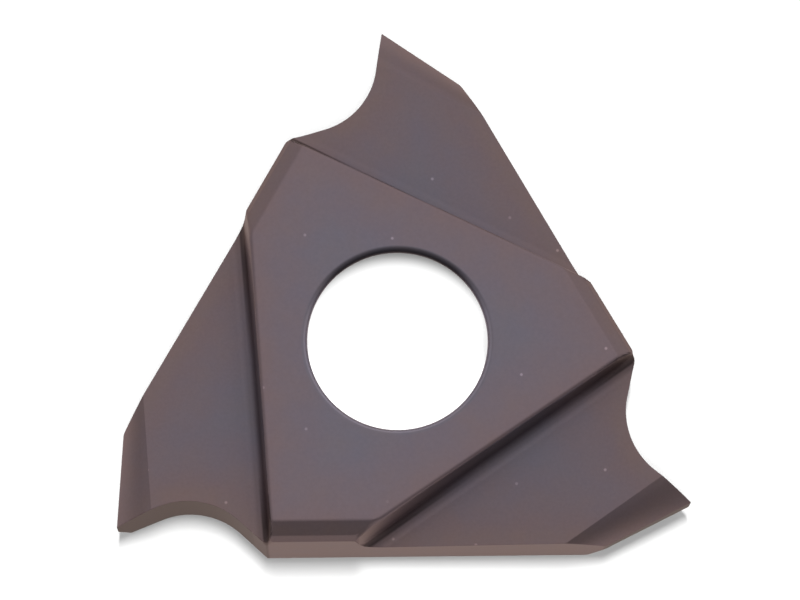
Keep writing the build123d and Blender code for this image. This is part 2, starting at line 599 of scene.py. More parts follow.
    def _edge_distance(self, s: np.ndarray, z: np.ndarray) -> np.ndarray:
        """Distance to the plane of the bevel's lower step, from s and the height z."""
        ds, dz = s - self.bevel_end, z - self.sizes.thickness + self.sizes.bevel_height
        return ds * np.sin(self.edge_slope) + dz * np.cos(self.edge_slope)

    def _pocket_distance(self, v: np.ndarray, w: np.ndarray) -> np.ndarray:
        """Distance to the pocket's wall, foot arc and floor.

        Args:
            v: plan distance across the pocket.
            w: height in its tilted frame.

        Returns:
            One distance for each point.
        """
        draft = np.radians(self.sizes.wall_draft)
        dv, dw = self.foot_arc.centre[0] - v, self.foot_arc.centre[1] - w
        wall = dv * np.cos(draft) + dw * np.sin(draft)
        turn = np.arctan2(dv, dw)
        inside = (turn > 0) & (turn < np.pi / 2 - draft)
        return self.sizes.wall_foot_radius - np.where(inside, np.hypot(dv, dw), np.maximum(wall, dw))

    def _flank_distance(self, v: np.ndarray, u: np.ndarray, w: np.ndarray) -> np.ndarray:
        """Distance to the crowned flank, carried on by its plane at the shoulder.

        Args:
            v: plan distance across the pocket.
            u: plan distance along the pocket.
            w: height in its tilted frame.

        Returns:
            One distance for each point.
        """
        centre_v, centre_w, radius, start_v, start_w = self.flank_circle(u)
        dv, dw = v - centre_v, w - centre_w
        plane = dv * start_v + dw * start_w
        beyond = dv * start_w > dw * start_v
        near = v > self.shoulder - self.sizes.wall_foot_radius
        return np.where(near, np.where(beyond, np.hypot(dv, dw), plane) - radius, -np.inf)

    def _relief_distance(self, points: np.ndarray, turn: float) -> np.ndarray:
        """Distance to the plane that leans from the tooth's lower edge inwards to the back face.

        Args:
            points: array of shape (n, 3).
            turn: the corner's angle from corner 0.

        Returns:
            One distance for each point.
        """
        front = points[:, :2] @ turned(self.front_normal, turn) - self.front_offset
        seat = self.sizes.tooth_seat
        lean = np.arctan(self.relief_reach(turned(points[:, :2], -turn)) / seat)
        return front * np.cos(lean) + (seat - points[:, 2]) * np.sin(lean)

    def _facet_distance(self, points: np.ndarray, turn: float) -> np.ndarray:
        """Distance to the small leaning facet worn on the hook's mouth.

        Args:
            points: array of shape (n, 3).
            turn: the corner's angle from corner 0.

        Returns:
            One distance for each point, minus infinity away from the mouth.
        """
        sizes = self.sizes
        plan = turned(points[:, :2], -turn) - sizes.mouth
        lean = np.radians(sizes.facet_lean)
        outward = plan @ heading(sizes.facet_turn + 90)
        reach = outward * np.cos(lean) + (points[:, 2] - sizes.facet_foot) * np.sin(lean)
        near = np.abs(plan @ heading(sizes.facet_turn)) < sizes.wall_foot_radius
        return np.where(near, reach, -np.inf)


@dataclass(frozen=True)
class PaintedShadeAndHighlight:
    """Factors on the colour of the faces ground apart from the land, against the land: mostly painted shade
    and highlight.

    The pocket floors are kept a little darker than the land. The flank's factors go with the way
    from its shoulder to the cutting edge: painted shade near the shoulder and a painted highlight
    towards the edge. The upright faces carry painted shade that blends from the start of one
    stretch of the outline to the next, the long side has its own, and the bore below the rim is
    painted in shade. The hole's rim carries a painted highlight, and painted shade towards +Y:
    reaches are angles from there, and falls are sines of the rim's fall. A pocket's wall gets
    painted shade over the wall end's reach before the bevel. Wall warmth is the depth in metres
    that the land's tint has at such a wall. Rises are the upward parts of the normals below which
    a face is upright or a wall.
    """

    pocket_share: float = 0.89
    # painted shade on the upright outer faces, by stretch of the outline
    upright_shade_shares: tuple[tuple[Stretch, float], ...] = (
        (Stretch.MOUTH, 0.50), (Stretch.ROOT, 0.32), (Stretch.HOOK, 0.24), (Stretch.FRONT, 0.24),
        (Stretch.HEEL, 0.32), (Stretch.SIDE, 0.90))
    # painted shade on the upright long side
    side_shade_share: float = 0.92
    # painted shade in the bore below the rim
    bore_shade_share: float = 0.25
    # painted highlight on the hole's rim away from +Y
    highlit_rim_share: float = 2.5
    highlit_rim_fall: tuple[float, float] = (0.3, 0.8)
    shaded_rim_share: float = 0.5
    shaded_rim_fall: float = 0.35
    shaded_rim_reach: tuple[float, float] = (40.0, 75.0)
    # painted shade at the end of a pocket's wall, before the bevel
    wall_end_shade_share: float = 0.40
    wall_end_shade_reach: float = 1.3e-3
    wall_top_margin: float = 0.02e-3
    flank_way: tuple[float, ...] = (0.0, 0.1, 0.3, 0.5, 0.7, 0.9, 1.0)
    # painted shade near the flank's shoulder, painted highlight towards its cutting edge
    flank_shade_and_highlight: tuple[float, ...] = (0.92, 0.95, 0.91, 0.99, 1.12, 1.22, 1.26)
    wall_warmth: float = 0.45e-3
    upright_rise: float = 0.3
    wall_rise: float = 0.8


def closed_grid_mesh(name: str, grid: np.ndarray, normals: np.ndarray,
                     marks: dict[Mark, np.ndarray]) -> bpy.types.Mesh:
    """Mesh of a grid that closes on itself both ways.

    Points that fall together become one, and faces that lose a side become triangles or go.

    Args:
        name: the mesh's name.
        grid: points of shape (rows, columns, 3), rows clockwise and columns outwards on top.
        normals: a normal for each point.
        marks: a number for each point, by mark.

    Returns:
        The mesh.
    """
    rows, columns = grid.shape[:2]
    keys = np.round(grid.reshape(-1, 3) / SAME_POINT).astype(np.int64)
    _, first, index = np.unique(keys, axis=0, return_index=True, return_inverse=True)
    index = index.reshape(rows, columns)
    down, right = np.roll(index, -1, axis=0), np.roll(index, -1, axis=1)
    quads = np.stack([index, down, np.roll(down, -1, axis=1), right], axis=-1).reshape(-1, 4)
    same = quads == np.roll(quads, -1, axis=1)
    whole = quads[same.sum(axis=1) == 0]
    whole = whole[(whole[:, 0] != whole[:, 2]) & (whole[:, 1] != whole[:, 3])]
    cut = same.sum(axis=1) == 1
    triangles = quads[cut][~same[cut]].reshape(-1, 3)
    mesh = bpy.data.meshes.new(name)
    mesh.from_pydata(grid.reshape(-1, 3)[first].tolist(), [], whole.tolist() + triangles.tolist())
    for mark, values in marks.items():
        layer = mesh.attributes.new(mark.value, "FLOAT", "POINT")
        layer.data.foreach_set("value", values.reshape(-1)[first].astype(np.float32))
    mesh.polygons.foreach_set("use_smooth", np.ones(len(mesh.polygons), bool))
    mesh.normals_split_custom_set_from_vertices(normals.reshape(-1, 3)[first].tolist())
    mesh.update()
    return mesh


@dataclass
class NodeGraph:
    """Short ways to add linked nodes to one tree."""

    tree: bpy.types.NodeTree

    def feed(self, socket: bpy.types.NodeSocket, source: object) -> None:
        """Links an output to a socket, or sets the socket's constant.

        Args:
            socket: the input socket.
            source: an output socket, a number or a sequence of numbers.
        """
        if isinstance(source, bpy.types.NodeSocket):
            self.tree.links.new(source, socket)
        else:
            socket.default_value = source

    def add(self, kind: str, inputs: dict[int | str, object] | None = None,
            **values: object) -> bpy.types.Node:
        """Adds a node, sets its properties and feeds its inputs.

        Args:
            kind: the node's type name.
            inputs: sources by the number or name of their input.
            values: properties of the node.

        Returns:
            The node.
        """
        node = self.tree.nodes.new(kind)
        for name, value in values.items():
            setattr(node, name, value)
        for key, source in (inputs or {}).items():
            self.feed(node.inputs[key], source)
        return node

    def mark(self, mark: Mark) -> bpy.types.NodeSocket:
        """Number that the mesh holds under a mark."""
        return self.add("ShaderNodeAttribute", attribute_name=mark.value).outputs["Fac"]

    def position(self) -> bpy.types.NodeSocket:
        """Object coordinates."""
        return self.add("ShaderNodeTexCoord").outputs["Object"]

    def camera_ray(self) -> bpy.types.NodeSocket:
        """1 for what the camera sees directly, and 0 for what lights or is mirrored."""
        return self.add("ShaderNodeLightPath").outputs["Is Camera Ray"]

    def parts(self, vector: bpy.types.NodeSocket) -> bpy.types.bpy_prop_collection:
        """The three numbers of a vector."""
        return self.add("ShaderNodeSeparateXYZ", {0: vector}).outputs

    def math(self, operation: str, *sources: object) -> bpy.types.NodeSocket:
        """Result of one arithmetic step on its sources."""
        return self.add("ShaderNodeMath", dict(enumerate(sources)), operation=operation).outputs[0]

    def remap(self, value: object, start: float, end: float, low: object = 0.0, high: object = 1.0,
              ease: Ease = Ease.LINEAR) -> bpy.types.NodeSocket:
        """Value carried from the range of start and end to that of low and high, and kept inside it."""
        inputs = dict(enumerate((value, start, end, low, high)))
        return self.add("ShaderNodeMapRange", inputs, interpolation_type=ease.value).outputs[0]

    def mix(self, share: object, first: object, second: object) -> bpy.types.NodeSocket:
        """Colour between a first at share 0 and a second at share 1."""
        return self.add("ShaderNodeMix", {0: share, 6: first, 7: second}, data_type="RGBA").outputs[2]

    def scaled(self, colour: object, factor: object) -> bpy.types.NodeSocket:
        """Colour times a number."""
        return self.add("ShaderNodeVectorMath", {0: colour, "Scale": factor}, operation="SCALE").outputs[0]

    def noise(self, scale: float, detail: float, roughness: float = 0.5) -> bpy.types.NodeSocket:
        """Noise about 0.5 on object coordinates: features a metre, octaves, weight of the finer ones."""
        inputs = {"Vector": self.position(), "Scale": scale, "Detail": detail, "Roughness": roughness}
        return self.add("ShaderNodeTexNoise", inputs).outputs[0]

    def ramp(self, value: object, stops: list[tuple[float, tuple[float, ...]]]) -> bpy.types.NodeSocket:
        """Colour by a value from 0 to 1, in proportion between stops.

        Args:
            value: the number.
            stops: positions and linear colours.

        Returns:
            The output socket.
        """
        node = self.add("ShaderNodeValToRGB", {0: value})
        elements = node.color_ramp.elements
        while len(elements) < len(stops):
            elements.new(0.5)
        for element, (position, colour) in zip(elements, stops):
            element.position, element.color = position, (*colour, 1.0)
        return node.outputs[0]


def display_colour(*levels: float) -> tuple[float, ...]:
    """Linear colour of display levels from 0 to 255, by the sRGB curve."""
    shares = np.array(levels) / 255
    return tuple(np.where(shares <= 0.04045, shares / 12.92, ((shares + 0.055) / 1.055) ** 2.4).tolist())


@dataclass(frozen=True)
class CoatedCarbide:
    """Dark coating vapour-deposited on ground carbide: a satin mirror, warmer towards its edges.

    Each tint has a distance from the nearest edge in millimetres and its display levels. The colour
    drifts in soft blotches between a cooler and a warmer tone, with a fine grain, and a few pale
    specks lie on the faces that look up. Scales are features a metre.
    """

    tints: tuple[tuple[float, int, int, int], ...] = (
        (0.0, 118, 101, 102), (0.2, 117, 101, 102), (0.5, 115, 100, 104), (1.0, 113, 101, 107),
        (1.5, 111, 101, 109), (2.0, 109, 102, 111), (2.5, 108, 102, 111))
    roughness: float = 0.48
    grazing_tint: tuple[float, float, float] = (0.95, 0.81, 0.75)
    blotch_scale: float = 1300.0
    blotch_detail: float = 4.0
    blotch_roughness: float = 0.6
    blotch_range: tuple[float, float] = (0.3, 0.7)
    cool_tone: tuple[float, float, float] = (0.970, 0.997, 1.030)
    warm_tone: tuple[float, float, float] = (1.030, 1.003, 0.970)
    grain_scale: float = 14000.0
    grain_detail: float = 2.0
    grain_range: tuple[float, float] = (0.25, 0.75)
    grain_depth: float = 0.035
    speck_scale: float = 1000.0
    speck_share: float = 0.3
    speck_radius: float = 0.048
    speck_core: float = 0.4
    speck_gain: float = 0.9
    upward: tuple[float, float] = (0.90, 0.97)

    def _tint(self, graph: NodeGraph) -> bpy.types.NodeSocket:
        """Tint by the distance from the nearest edge, times the factor of painted shade and highlight.

        Args:
            graph: the material's nodes.

        Returns:
            A colour.
        """
        longest = self.tints[-1][0]
        depth = graph.remap(graph.mark(Mark.EDGE_DEPTH), 0.0, longest / 1000)
        stops = [(millimetres / longest, display_colour(*levels)) for millimetres, *levels in self.tints]
        # the tint times the painted shade and highlight held on the mesh
        return graph.scaled(graph.ramp(depth, stops), graph.mark(Mark.PAINTED_LIGHT))

    def _blotches(self, graph: NodeGraph) -> bpy.types.NodeSocket:
        """Tone of the coating: the blend of cool and warm by slow noise, dimmed and raised by fine noise.

        Args:
            graph: the material's nodes.

        Returns:
            A colour about 1 that multiplies the tint.
        """
        slow = graph.noise(self.blotch_scale, self.blotch_detail, self.blotch_roughness)
        share = graph.remap(slow, *self.blotch_range)
        tone = graph.mix(share, (*self.cool_tone, 1.0), (*self.warm_tone, 1.0))
        fine = graph.noise(self.grain_scale, self.grain_detail)
        grain = graph.remap(fine, *self.grain_range, 1 - self.grain_depth, 1 + self.grain_depth)
        return graph.scaled(tone, grain)

    def _specks(self, graph: NodeGraph) -> bpy.types.NodeSocket:
        """Gain of the pale specks: discs round the points of some cells in plan, on faces that look up.

        Args:
            graph: the material's nodes.

        Returns:
            A number from 1 up.
        """
        cells = graph.add("ShaderNodeTexVoronoi", voronoi_dimensions="2D", feature="F1")
        graph.feed(cells.inputs["Vector"], graph.position())
        graph.feed(cells.inputs["Scale"], self.speck_scale)
        core = self.speck_radius * self.speck_core
        disc = graph.remap(cells.outputs["Distance"], core, self.speck_radius, 1.0, 0.0, Ease.SMOOTH)
        draw = graph.add("ShaderNodeSeparateColor", {0: cells.outputs["Color"]}).outputs[0]
        chosen = graph.math("SQRT", graph.remap(draw, 1 - self.speck_share, 1.0))
        normal = graph.add("ShaderNodeNewGeometry").outputs["Normal"]
        upward = graph.remap(graph.parts(normal)[2], *self.upward)
        speck = graph.math("MULTIPLY", graph.math("MULTIPLY", disc, chosen), upward)
        return graph.math("MULTIPLY_ADD", speck, self.speck_gain, 1.0)

    def material(self) -> bpy.types.Material:
        """Builds the material.

        Returns:
            The material.
        """
        material = bpy.data.materials.new("coated_carbide_finish")
        material.use_nodes = True
        graph = NodeGraph(material.node_tree)
        shader = material.node_tree.nodes["Principled BSDF"]
        layers = {0: self._tint(graph), 1: self._blotches(graph)}
        tone = graph.add("ShaderNodeVectorMath", layers, operation="MULTIPLY").outputs[0]
        graph.feed(shader.inputs["Base Color"], graph.scaled(tone, self._specks(graph)))
        shader.inputs["Metallic"].default_value = 1.0
        shader.inputs["Specular Tint"].default_value = (*self.grazing_tint, 1.0)
        shader.inputs["Roughness"].default_value = self.roughness
        return material


@dataclass
class InsertBody:
    """The one piece of the insert: a closed loop of points round each section, carried round the hole.

    A section runs straight in plan from the hole to a point of the outline. Its loop goes out over
    the top, down the outline, back over the bottom and up the hole.
    """

    sizes: InsertSizes
    lines: MeshLines = MeshLines()
    # painted shade and highlight on the ground faces
    ground: PaintedShadeAndHighlight = PaintedShadeAndHighlight()
    coating: CoatedCarbide = CoatedCarbide()

    def __post_init__(self) -> None:
        """Works out the ground faces, the outline, and the normal of each section's own long side."""
        self.shape = InsertShape(self.sizes)
        self.outline = Outline.of(self.sizes, self.lines)
        side = self.sizes.side_angle
        self.before_tip = np.arange(len(self.outline.points)) < self.outline.starts[Stretch.FRONT]
        self.side_normals = np.where(self.before_tip[:, None], heading(90 + side), heading(90 - side))

    def _hole_angles(self) -> np.ndarray:
        """Angle at the hole for each section, in step with the length of the outline.

        Returns:
            Angles in degrees.
        """
        points = np.vstack([self.outline.points, turned(self.outline.points[0], -self.sizes.pitch)])
        length = np.concatenate([[0.0], np.cumsum(np.linalg.norm(np.diff(points, axis=0), axis=1))])
        start = np.degrees(np.arctan2(points[0, 1], points[0, 0]))
        return start - self.sizes.pitch * length[:-1] / length[-1]

    def _wall_share(self, runs: Runs) -> np.ndarray:
        """Share of each run at which it meets the upper end of the pocket's wall.

        The wall leans, and the land falls at its bevel, so the share is found in steps: the height
        at the last share gives the wall's reach there, and that reach the next share.

        Args:
            runs: the sections' runs.

        Returns:
            Shares as a column, 1 where the run meets no wall.
        """
        sizes, shape = self.sizes, self.shape
        s0, ds = runs.along(self.side_normals)
        v0, dv = runs.along(sizes.across)
        u0, du = runs.along(sizes.along)
        wall = np.ones_like(dv)
        for _ in range(self.lines.wall_search):
            height = shape.land_height(s0 + wall * ds)
            w = height * shape.slope_cos + (u0 + wall * du) * shape.slope_sin
            reach = sizes.wall_distance + (sizes.thickness - w) * shape.lean
            wall = np.clip(reached(reach, v0, dv), 0, 1)
        return wall

    def _land_lines(self, runs: Runs, edge: np.ndarray, last: np.ndarray) -> np.ndarray:
        """Shares of each run for the land, its bevel and its honed edge.

        Args:
            runs: the sections' runs.
            edge: share at which the land ends.
            last: share of the first line beside the outline.

        Returns:
            Shares of shape (sections, lines).
        """
        sizes, shape, lines = self.sizes, self.shape, self.lines
        angle = shape.bevel_slope * np.array(lines.blend)
        blend = shape.blend_centre[0] + sizes.bevel_blend_radius * np.sin(angle)
        bevel = shape.blend_end + (shape.bevel_end - shape.blend_end) * np.array(lines.bevel)
        lower = shape.bevel_end + sizes.edge_width * np.array(lines.edge)
        levels = np.concatenate([blend, bevel, lower])[None, :]
        bevel_lines = np.clip(reached(levels, *runs.along(self.side_normals)), 0, edge)
        _, pace = runs.along(sizes.across)
        honing = sizes.land_honing * np.array(lines.honing)[None, :] / np.maximum(pace, NOT_ZERO)
        honing = np.where(edge < last, np.clip(honing, 0, lines.longest_honing), 0)
        bevel_lines = np.sort(np.concatenate([bevel_lines, edge - honing], axis=1), axis=1)
        land = np.concatenate([graded(lines.land_count, lines.land_guard), [lines.land_last]])
        return np.concatenate([bevel_lines[:, :1] * land[None, :], bevel_lines], axis=1)

    def _pocket_lines(self, runs: Runs, edge: np.ndarray, last: np.ndarray) -> np.ndarray:
        """Shares of each run for the pocket's wall, foot, floor and flank.

        Args:
            runs: the sections' runs.
            edge: share at which the land ends.
            last: share of the first line beside the outline.

        Returns:
            Shares of shape (sections, lines), from edge to last.
        """
        sizes, shape, lines = self.sizes, self.shape, self.lines
        v0, dv = runs.along(sizes.across)
        u0, du = runs.along(sizes.along)
        wall_width = shape.foot_arc.start[0] - sizes.wall_distance
        wall_v = sizes.wall_distance + wall_width * np.array(lines.wall)
        sweep = np.radians(90 - sizes.wall_draft) * np.linspace(0, 1, lines.foot_count)
        sweep += np.radians(sizes.wall_draft)
        foot_v = shape.foot_arc.centre[0] - sizes.wall_foot_radius * np.cos(sweep)
        floor = graded(lines.floor_count, lines.floor_guard)[1:-1]
        floor_v = foot_v[-1] + (shape.shoulder - foot_v[-1]) * floor
        near_shoulder = shape.shoulder - sizes.edge_softness * np.array(lines.guards[::-1])
        levels = np.concatenate([wall_v, foot_v, floor_v, near_shoulder, [shape.shoulder]])[None, :]
        pocket = reached(levels, v0, dv)
        down = np.array(lines.flank)[None, :]
        width = shape.front_start - shape.front_turn * u0 - shape.shoulder
        flank = reached(shape.shoulder + down * width, v0, dv + down * shape.front_turn * du)
        pocket = np.concatenate([pocket, np.maximum(flank, pocket[:, -1:])], axis=1)
        return np.clip(pocket, edge, last)

    def _top(self, inner: np.ndarray) -> np.ndarray:
        """Upper part of every section, from the hole's rim to the outline.

        Its lines lie at the shares of a run at which it meets chosen distances s of the bevel or v of
        the pocket. The height is the lower one of the land's and the pocket's.

        Args:
            inner: plan points on the hole's rim, one a section.

        Returns:
            Points of shape (sections, lines, 3).
        """
        sizes, shape = self.sizes, self.shape
        runs = Runs(inner, self.outline.points - inner)
        guards = np.array([*self.lines.guards[::-1], 0.0])[None, :] * sizes.edge_softness
        outer_lines = 1 - guards / runs.length
        last = outer_lines[:, :1]
        edge = np.minimum(self._wall_share(runs), last)
        land, pocket = self._land_lines(runs, edge, last), self._pocket_lines(runs, edge, last)
        plan = runs.points(np.concatenate([land, edge, pocket, outer_lines], axis=1))
        v, u = plan @ sizes.across, plan @ sizes.along
        s = (plan * self.side_normals[:, None, :]).sum(axis=2)
        near = v > sizes.wall_distance - 2 * sizes.land_honing
        ground = np.where(near, shape.pocket_height(v, u), np.inf)
        return np.concatenate([plan, np.minimum(shape.land_height(s), ground)[..., None]], axis=2)

    def _bottom(self, inner: np.ndarray) -> np.ndarray:
        """Lower part of every section, from the outline to the hole's rim on the back.

        Under the tooth it falls evenly to the back face over the relief's width.

        Args:
            inner: plan points on the back rim, one a section.

        Returns:
            Points of shape (sections, lines, 3).
        """
        sizes, shape, lines = self.sizes, self.shape, self.lines
        runs = Runs(inner, self.outline.points - inner)
        guards = np.array(lines.guards)[None, :] * sizes.edge_softness / runs.length
        foot = np.ones_like(guards[:, :1])
        for _ in range(lines.relief_search):
            relief_end = shape.front_offset - shape.relief_reach(runs.points(foot))
            foot = np.clip(reached(relief_end, *runs.along(shape.front_normal)), 0, 1)
        edge = np.maximum(1 - guards, foot)
        slope = foot + (edge[:, -1:] - foot) * np.array(lines.relief)[None, :]
        flat = (foot - guards[:, -1:]) * (1 - graded(lines.back_count, lines.back_guard)[1:])[None, :]
        shares = np.concatenate([np.ones_like(foot), edge, slope, foot - guards, flat], axis=1)
        plan = runs.points(shares)
        front = plan @ shape.front_normal - shape.front_offset
        rise = np.maximum(sizes.tooth_seat * (1 + front / shape.relief_reach(plan)), 0)
        return np.concatenate([plan, np.where(shares > foot, rise, 0)[..., None]], axis=2)

    def _hole_profile(self) -> np.ndarray:
        """Radius and height up the hole: back rim, seat cone, throat and the quarter circle of its rim.

        Returns:
            Points of shape (lines, 2).
        """
        sizes, lines = self.sizes, self.lines
        flare = np.tan(np.radians(sizes.flare_angle))
        rim_low = sizes.thickness - sizes.hole_rim_radius
        throat_corner = np.array([sizes.hole_radius, rim_low - sizes.throat_length])
        corner = np.array([sizes.hole_radius + throat_corner[1] * flare, 0.0])
        low = corner + [sizes.back_rim_width, 0.0]
        high = corner + [-sizes.back_rim_width * flare, sizes.back_rim_width]
        count, radius = lines.corner_count, sizes.back_rim_radius
        outer_rim = Fillet.between(low + [LINE_REACH, 0], low, high, radius).points(count)
        inner_rim = Fillet.between(low, high, throat_corner, radius).points(count)
        start = inner_rim[-1]
        seat = start + graded(lines.seat_count, lines.seat_guard)[1:, None] * (throat_corner - start)
        above = throat_corner + [0, LINE_REACH]
        throat = Fillet.between(start, throat_corner, above, sizes.throat_blend_radius).points(count)
        angle = np.radians(np.linspace(180, 90, lines.rim_count, endpoint=False))
        centre = np.array([sizes.hole_radius + sizes.hole_rim_radius, rim_low])
        rim = centre + sizes.hole_rim_radius * np.column_stack([np.cos(angle), np.sin(angle)])
        return np.vstack([outer_rim, inner_rim, seat, throat, rim])

    def _sections(self) -> tuple[np.ndarray, int]:
        """Every section of one third of the insert.

        Returns:
            Points of shape (sections, lines, 3), and how many lines come before the hole's.
        """
        sizes, lines = self.sizes, self.lines
        angles = np.radians(self._hole_angles())
        rays = np.column_stack([np.cos(angles), np.sin(angles)])
        hole = self._hole_profile()
        top = self._top(rays * (sizes.hole_radius + sizes.hole_rim_radius))
        bottom = self._bottom(rays * hole[0, 0])[:, :-1]
        height = (top[:, -1, 2] - bottom[:, 0, 2])[:, None]
        guards = np.array(lines.guards)[None, :] * sizes.edge_softness
        guards = np.minimum(guards, height * lines.longest_side_guard)
        shares = np.linspace(lines.side_margin, 1 - lines.side_margin, lines.side_count)[None, :]
        middle = guards[:, -1:] + (height - 2 * guards[:, -1:]) * shares
        drops = np.concatenate([guards, middle, height - guards[:, ::-1]], axis=1)
        side = np.repeat(top[:, -1:], drops.shape[1], axis=1)
        side[..., 2] -= drops
        heights = np.tile(hole[:, 1:], (len(rays), 1, 1))
        bore = np.concatenate([rays[:, None, :] * hole[None, :, :1], heights], axis=2)
        outer = np.concatenate([top, side, bottom], axis=1)
        return np.concatenate([outer, bore], axis=1), outer.shape[1]

    def _softened(self, outer: np.ndarray) -> tuple[np.ndarray, np.ndarray]:
        """Outer points moved onto the solid with rounded edges, by Newton steps along the gradient.

        Args:
            outer: points of shape (sections, lines, 3).

        Returns:
            The moved points and their normals, of the same shape.
        """
        shape, sizes, lines = self.shape, self.sizes, outer.shape[1]
        base = np.repeat(self.outline.points, lines, axis=0)
        normal = np.repeat(self.outline.normals, lines, axis=0)
        before_tip = np.repeat(self.before_tip, lines)
        other_normal = np.where(before_tip[:, None], shape.front_normal, shape.tip_normal)
        other_offset = np.where(before_tip, shape.front_offset, shape.tip_offset)
        near = np.linalg.norm(base - sizes.tip, axis=1) < sizes.tip_zone

        def distance(points: np.ndarray) -> np.ndarray:
            """Distance to the solid with rounded edges.

            Args:
                points: array of shape (n, 3).

            Returns:
                One distance for each point.
            """
            local = ((points[:, :2] - base) * normal).sum(axis=1)
            across = np.where(near, (points[:, :2] * other_normal).sum(axis=1) - other_offset, -np.inf)
            return rounded(shape.face_distances(points, local, across), sizes.edge_softness)

        def gradient(points: np.ndarray) -> np.ndarray:
            """Gradient of that distance by central differences.

            Args:
                points: array of shape (n, 3).

            Returns:
                A vector for each point.
            """
            shifts = GRADIENT_STEP * np.eye(3)
            gains = [distance(points + shift) - distance(points - shift) for shift in shifts]
            return np.stack(gains, axis=1) / (2 * GRADIENT_STEP)

        points = outer.reshape(-1, 3)
        for _ in range(self.lines.softening):
            slope = gradient(points)
            steepness = np.maximum((slope**2).sum(axis=1), LEAST_STEEPNESS)
            points = points - slope * (distance(points) / steepness)[:, None]
        slope = gradient(points)
        normals = slope / np.maximum(np.linalg.norm(slope, axis=1), NOT_ZERO)[:, None]
        return points.reshape(outer.shape), normals.reshape(outer.shape)

    def _hole_normals(self, sections: np.ndarray, outer_count: int) -> np.ndarray:
        """Normals in the hole, each in its section's plane and square to the line between its neighbours.

        Args:
            sections: points of shape (sections, lines, 3).
            outer_count: number of lines before the hole's.

        Returns:
            Normals of the hole's lines.
        """
        ahead, back = np.roll(sections, -1, axis=1), np.roll(sections, 1, axis=1)
        rise = (ahead - back)[:, outer_count:]
        radial = sections[:, outer_count:, :2]
        radial = radial / np.linalg.norm(radial, axis=2)[..., None]
        tilt = np.stack([-rise[..., 2], (rise[..., :2] * radial).sum(axis=2)], axis=2)
        tilt /= np.maximum(np.linalg.norm(tilt, axis=2), NOT_ZERO)[..., None]
        return np.concatenate([radial * tilt[..., :1], tilt[..., 1:]], axis=2)

    def _edge_depth(self, sections: np.ndarray, outer_count: int) -> np.ndarray:
        """Plan distance to the nearest outer edge: the outline or, counted further away, a pocket's wall.

        Args:
            sections: points of shape (sections, lines, 3).
            outer_count: number of lines before the hole's, which keep a middling depth.

        Returns:
            Distances of shape (sections, lines).
        """
        sizes, lines = self.sizes, self.lines
        plan = sections[:, :outer_count, :2].reshape(-1, 2)
        closed = np.concatenate([turned(self.outline.points, turn) for turn in sizes.turns])
        shares = np.linspace(0, 1, lines.outline_parts, endpoint=False)[:, None, None]
        fine = (closed + shares * (np.roll(closed, -1, axis=0) - closed)).reshape(-1, 2)
        squares = [((block[:, None, :] - fine) ** 2).sum(axis=2).min(axis=1)
                   for block in np.array_split(plan, lines.depth_blocks)]
        near = np.sqrt(np.concatenate(squares))
        for turn in sizes.turns:
            wall = sizes.wall_distance - plan @ turned(sizes.across, turn)
            near = np.where(wall > 0, np.minimum(near, wall + self.ground.wall_warmth), near)
        depth = np.full(sections.shape[:2], sizes.inradius / 2)
        depth[:, :outer_count] = near.reshape(len(sections), outer_count)
        return depth

    def _painted_light(self, sections: np.ndarray, normals: np.ndarray, outer_count: int) -> np.ndarray:
        """Factor on each point's colour against the land: painted shade and highlight, darker pocket
        floors.

        Args:
            sections: points of shape (sections, lines, 3).
            normals: their normals.
            outer_count: number of lines before the hole's.

        Returns:
            Shares of shape (sections, lines).
        """
        ground, shape, sizes, starts = self.ground, self.shape, self.sizes, self.outline.starts
        v, u, rise = sections[..., :2] @ sizes.across, sections[..., :2] @ sizes.along, normals[..., 2]
        floor = (v > shape.foot_arc.centre[0] - sizes.wall_foot_radius / 2) & (rise > ground.upright_rise)
        # pocket floors a little darker than the land
        share = np.where(floor, ground.pocket_share, 1.0)
        # painted shade near the flank's shoulder, painted highlight towards its cutting edge
        way = (v - shape.shoulder) / (shape.front_start - shape.front_turn * u - shape.shoulder)
        flank = np.interp(way, ground.flank_way, ground.flank_shade_and_highlight)
        share = np.where(floor & (v > shape.shoulder), flank, share)
        # painted shade at the end of a pocket's wall, before the bevel
        s = (sections[..., :2] * self.side_normals[:, None, :]).sum(axis=2)
        fade = np.clip((s - shape.land_end) / ground.wall_end_shade_reach + 1, 0, 1) * (v > sizes.wall_distance)
        wall = (rise < ground.wall_rise) & (v < shape.foot_arc.centre[0])
        wall &= v > sizes.wall_distance - ground.wall_top_margin
        share = np.where(wall, 1 + (ground.wall_end_shade_share - 1) * fade, share)
        # painted shade on the upright outer faces, by stretch of the outline and on the long side
        number = np.arange(len(sections))
        stretches, shares = zip(*ground.upright_shade_shares)
        along = np.interp(number, starts[list(stretches)], shares)[:, None]
        upright = np.abs(rise) < ground.upright_rise
        share = np.where(upright & (v > shape.foot_arc.end[0]), along, share)
        share = np.where(upright & (number >= starts[Stretch.SIDE])[:, None], ground.side_shade_share, share)
        # painted shade in the bore below the rim
        below_rim = sections[:, outer_count:, 2] < sizes.thickness - sizes.hole_rim_radius - HEIGHT_SLACK
        share[:, outer_count:] = np.where(below_rim, ground.bore_shade_share, 1.0)
        return share

    def _rim_highlight_and_shade(self, hole: np.ndarray, normals: np.ndarray) -> np.ndarray:
        """Factor of the rim's painted highlight and painted shade: with the rim's fall, by the turn away
        from +Y.

        Args:
            hole: points of the hole's lines, all round.
            normals: their normals.

        Returns:
            A factor for each point.
        """
        sizes, ground = self.sizes, self.ground
        northward = hole[..., 1] / np.linalg.norm(hole[..., :2], axis=-1)
        away = np.degrees(np.arccos(np.clip(northward, -1, 1)))
        near, far = ground.shaded_rim_reach
        open_side = np.clip((away - near) / (far - near), 0, 1)
        fall = np.sqrt(np.clip(1 - normals[..., 2] ** 2, 0, 1))
        gentle, steep = ground.highlit_rim_fall
